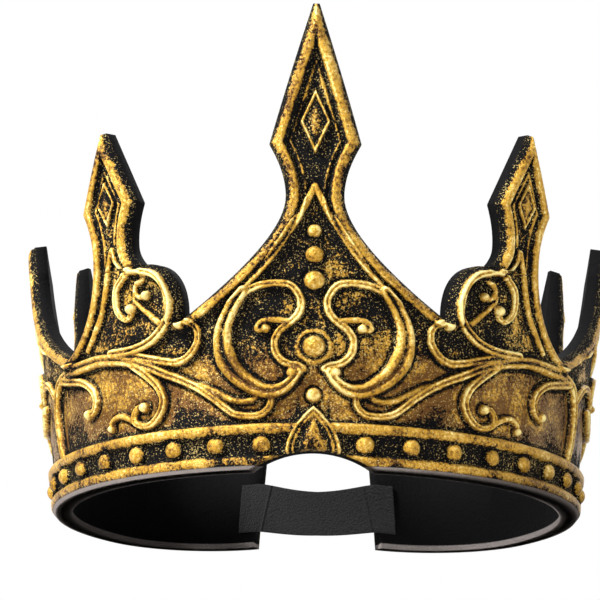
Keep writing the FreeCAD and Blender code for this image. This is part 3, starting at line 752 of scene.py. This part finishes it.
lap_up = STRAP_LIFT + 0.5 * STRAP_WIDTH
lap_out = -FOAM_THICKNESS - 0.5 * STRAP_THICKNESS
lap_along = np.linspace(WALL_LENGTH - STRAP_LAP, WALL_LENGTH, LAP_STEPS)
ones = np.ones(len(lap_along))


def line_at(up, out):
    """The lap's line at one height and one depth, in millimetres."""
    return on_wall(lap_along, up * ones, out * ones) / MM


lap_centre = line_at(lap_up, lap_out)
lap_up_way = line_at(lap_up + 1, lap_out) - lap_centre
leave = lap_centre[-1]
run_out = np.cross(lap_up_way[-1], line_at(lap_up, lap_out + 1)[-1] - leave)
mid = np.array([0, leave[1] - STRAP_BOW, leave[2] - STRAP_SAG])
course = bezier([leave, leave + run_out * STRAP_BOW, mid + (0.5 * leave[0], 0, 0), mid],
                COURSE_STEPS)
share = np.linspace(0, 1, COURSE_STEPS + 1)[:, None]
course_up = lap_up_way[-1] * (1 - share) + np.array([[0, 0, 1.0]]) * share
centre = np.vstack([lap_centre, course[1:]])
up_way = np.vstack([lap_up_way, course_up[1:]])
course_width = STRAP_WIDTH + share[1:, 0] * (STRAP_WAIST - STRAP_WIDTH)
width = np.concatenate([STRAP_WIDTH * ones, course_width])
centre = np.vstack([centre, centre[-2::-1] * (-1, 1, 1)])
up_way = np.vstack([up_way, up_way[-2::-1] * (-1, 1, 1)])
width = np.concatenate([width, width[-2::-1]])
run = np.gradient(centre, axis=0)
across = np.cross(run, up_way)
across /= np.linalg.norm(across, axis=1)[:, None]
up_way = np.cross(across, run)
up_way /= np.linalg.norm(up_way, axis=1)[:, None]
angle = np.linspace(0, 2 * math.pi, ROUND_STEPS + 1)[:-1]
high = np.sign(np.sin(angle)) * np.abs(np.sin(angle)) ** EDGE_SQUARENESS
thick = np.sign(np.cos(angle)) * np.abs(np.cos(angle)) ** FACE_SQUARENESS
up_reach = 0.5 * width[:, None, None] * high[None, :, None]
out_reach = 0.5 * STRAP_THICKNESS * thick[None, :, None]
ring = centre[:, None, :] + up_way[:, None, :] * up_reach + across[:, None, :] * out_reach
rows, cols = ring.shape[:2]
index = np.arange(rows * cols).reshape(rows, cols)
beside = np.roll(index, -1, axis=1)
strap_quads = np.stack([index[:-1], beside[:-1], beside[1:], index[1:]], axis=-1).reshape(-1, 4)
strap_faces = strap_quads.tolist() + [index[0, ::-1].tolist(), index[-1].tolist()]
strap = mesh_object("elastic_webbing", ring.reshape(-1, 3) * MM, strap_faces)
strap.data.polygons.foreach_set("use_smooth", np.ones(len(strap.data.polygons), bool))
lengths = np.concatenate([[0], np.cumsum(np.linalg.norm(np.diff(centre, axis=0), axis=1))])
cloth_up = np.tile(high * 0.5 * STRAP_WIDTH, rows)
cloth_place = np.stack([np.repeat(lengths, cols), cloth_up], axis=-1)
uv = strap.data.uv_layers.new(name="webbing")
corner_index = np.empty(len(strap.data.loops), int)
strap.data.loops.foreach_get("vertex_index", corner_index)
uv.data.foreach_set("uv", (cloth_place[corner_index] * CLOTH_SCALE).ravel())

# A seam crosses the strap a little way past each foam end.
SEAM_PLACE = CLOTH_SCALE * (STRAP_LAP + 4.2)
SEAM_WIDTH = 0.045
cloth, tree = new_material("looped_webbing")
flat = add(tree, "ShaderNodeUVMap", uv_map="webbing").outputs[0]
loopy = add(tree, "ShaderNodeTexVoronoi", [("Vector", flat), ("Scale", 13.0)],
            feature="F1").outputs["Distance"]
fuzz = noise(tree, flat, 60, 3, 0.6)
from_start = add(tree, "ShaderNodeSeparateXYZ", [("Vector", flat)]).outputs["X"]
from_end = calc(tree, "SUBTRACT", CLOTH_SCALE * float(lengths[-1]), from_start)
from_tip = calc(tree, "MINIMUM", from_start, from_end)
from_seam = calc(tree, "ABSOLUTE", calc(tree, "SUBTRACT", from_tip, SEAM_PLACE))
seam = ramp(tree, from_seam, SEAM_WIDTH * 1.6, SEAM_WIDTH * 0.4)
loops_high = calc(tree, "SUBTRACT", calc(tree, "MULTIPLY", fuzz, 0.7), loopy)
loops_high = calc(tree, "SUBTRACT", loops_high, calc(tree, "MULTIPLY", seam, 1.5))
bump = add(tree, "ShaderNodeBump", [("Height", loops_high), ("Strength", 1.0),
                                    ("Distance", 0.0007)])
light = ramp(tree, calc(tree, "SUBTRACT", fuzz, calc(tree, "MULTIPLY", loopy, 0.4)), 0.2, 0.6)
colour = mix_colour(tree, light, WEBBING, WEBBING_LIGHT)
colour = mix_colour(tree, seam, colour, WEBBING_SEAM)
shader = add(tree, "ShaderNodeBsdfPrincipled", [("Base Color", colour), ("Roughness", 0.9),
                                                ("Specular IOR Level", 0.2),
                                                ("Sheen Weight", 0.08),
                                                ("Normal", bump.outputs[0])])
add(tree, "ShaderNodeOutputMaterial", [("Surface", shader.outputs[0])])
strap.data.materials.append(cloth)
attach(strap, "root")
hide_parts("elastic_strap")

# Studio: a pale floor that only shows from above, since the photograph looks up from below it,
# a white background, a key lamp from the upper left, a fill and a rim lamp.
FLOOR_SIZE = 6.0
FLOOR_DROP = 0.0002
FLOOR_COLOUR = (0.86, 0.86, 0.86, 1)
bpy.ops.mesh.primitive_plane_add(size=FLOOR_SIZE, location=(0, 0, -FLOOR_DROP))
floor = bpy.context.object
floor.name = "studio_floor"
floor_paint, tree = new_material("pale_floor")
below = add(tree, "ShaderNodeNewGeometry").outputs["Backfacing"]
matt = add(tree, "ShaderNodeBsdfDiffuse", [("Color", FLOOR_COLOUR)])
clear = add(tree, "ShaderNodeBsdfTransparent")
both = add(tree, "ShaderNodeMixShader", [(0, below), (1, matt.outputs[0]), (2, clear.outputs[0])])
add(tree, "ShaderNodeOutputMaterial", [("Surface", both.outputs[0])])
floor.data.materials.append(floor_paint)

world = bpy.data.worlds.new("studio")
bpy.context.scene.world = world
world.use_nodes = True
tree = world.node_tree
tree.nodes.clear()
rays = add(tree, "ShaderNodeLightPath")
seen = calc(tree, "MAXIMUM", calc(tree, "MAXIMUM", rays.outputs["Is Camera Ray"],
                                  rays.outputs["Is Glossy Ray"]),
            rays.outputs["Is Transmission Ray"])
AMBIENT = 0.20
strength = calc(tree, "ADD", AMBIENT, calc(tree, "MULTIPLY", seen, 1 - AMBIENT))
glow = add(tree, "ShaderNodeBackground", [("Color", (1, 1, 1, 1)), ("Strength", strength)])
add(tree, "ShaderNodeOutputWorld", [("Surface", glow.outputs[0])])


def lamp(name, place, target, size, watts):
    """A square soft box that faces a target."""
    light = bpy.data.lights.new(name, "AREA")
    light.size = size
    light.energy = watts
    made = bpy.data.objects.new(name, light)
    made.location = place
    way = Vector(target) - Vector(place)
    made.rotation_euler = way.to_track_quat("-Z", "Y").to_euler()
    bpy.context.collection.objects.link(made)


CROWN_MIDDLE = (0, -0.03, 0.06)
lamp("key", (-0.70, -0.55, 0.80), CROWN_MIDDLE, 0.18, 25.0)
lamp("fill", (0.8, -0.7, 0.25), CROWN_MIDDLE, 0.6, 2.4)
lamp("rim", (0.3, 0.9, 0.7), CROWN_MIDDLE, 0.5, 4.0)

# Camera: the photograph's, low in front and looking up at the crown, turned a little.
CAMERA_RISE = 0.2853
CAMERA_TURN = -0.0193
CAMERA_ROLL = 0.0112
CAMERA_AWAY = 0.776
CAMERA_TARGET = np.array([-0.00667, 0, 0.0851])
FOCAL_PIXELS = 2031.2
IMAGE_PIXELS = 600
SENSOR = 36.0
forward = np.array([math.sin(CAMERA_TURN) * math.cos(CAMERA_RISE),
                    math.cos(CAMERA_TURN) * math.cos(CAMERA_RISE), math.sin(CAMERA_RISE)])
right = np.array([math.cos(CAMERA_TURN), -math.sin(CAMERA_TURN), 0])
above = np.cross(right, forward)
camera_right = right * math.cos(CAMERA_ROLL) + above * math.sin(CAMERA_ROLL)
camera_up = above * math.cos(CAMERA_ROLL) - right * math.sin(CAMERA_ROLL)
camera_data = bpy.data.cameras.new("camera")
camera_data.sensor_width = SENSOR
camera_data.lens = FOCAL_PIXELS / IMAGE_PIXELS * SENSOR
camera_data.clip_start = 0.01
camera = bpy.data.objects.new("camera", camera_data)
bpy.context.collection.objects.link(camera)
place = CAMERA_TARGET - forward * CAMERA_AWAY
camera.matrix_world = Matrix(((camera_right[0], camera_up[0], -forward[0], place[0]),
                              (camera_right[1], camera_up[1], -forward[1], place[1]),
                              (camera_right[2], camera_up[2], -forward[2], place[2]),
                              (0, 0, 0, 1)))
bpy.context.scene.camera = camera
bpy.context.scene.view_settings.view_transform = "Standard"
